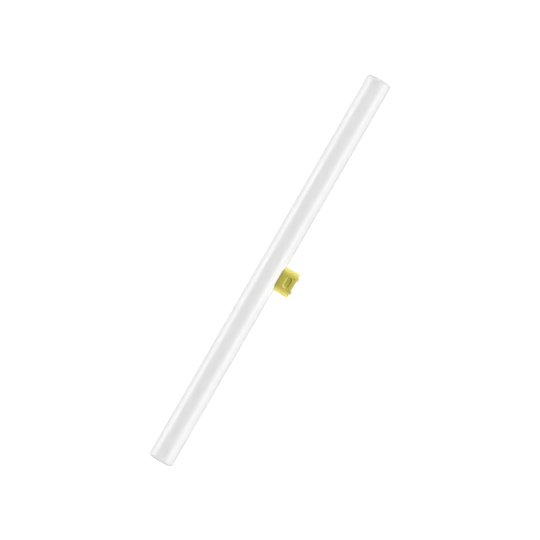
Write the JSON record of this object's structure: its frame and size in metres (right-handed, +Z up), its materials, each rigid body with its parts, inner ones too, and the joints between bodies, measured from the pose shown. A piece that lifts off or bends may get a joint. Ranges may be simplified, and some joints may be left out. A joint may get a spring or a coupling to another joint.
{
  "type": "tubular light bulb",
  "caption": "Straight opal tube lamp with flat, round-cornered ends and a small flat-sided push-in cap at mid length, with latch pockets, lead-in ramps and contact strips.",
  "frame": {"origin": "on the table, under the middle of the whole lamp as it lies at rest", "axes": "+X along the tube, +Z up, and the cap points to -Y and leans down until its lower corner touches the table"},
  "size_m": [0.5, 0.0484, 0.0294],
  "materials": {
    "opal_glass": "white opal glass, satin, opaque to the eye",
    "cap_moulding": "moulded, satin, mustard yellow",
    "contact_metal": "nickel-plated strip, fine rolled grain"
  },
  "bodies": {
    "root": {"tube": "opal_glass", "cap": "cap_moulding", "contact_left": "contact_metal", "contact_right": "contact_metal"}
  },
  "joints": []
}
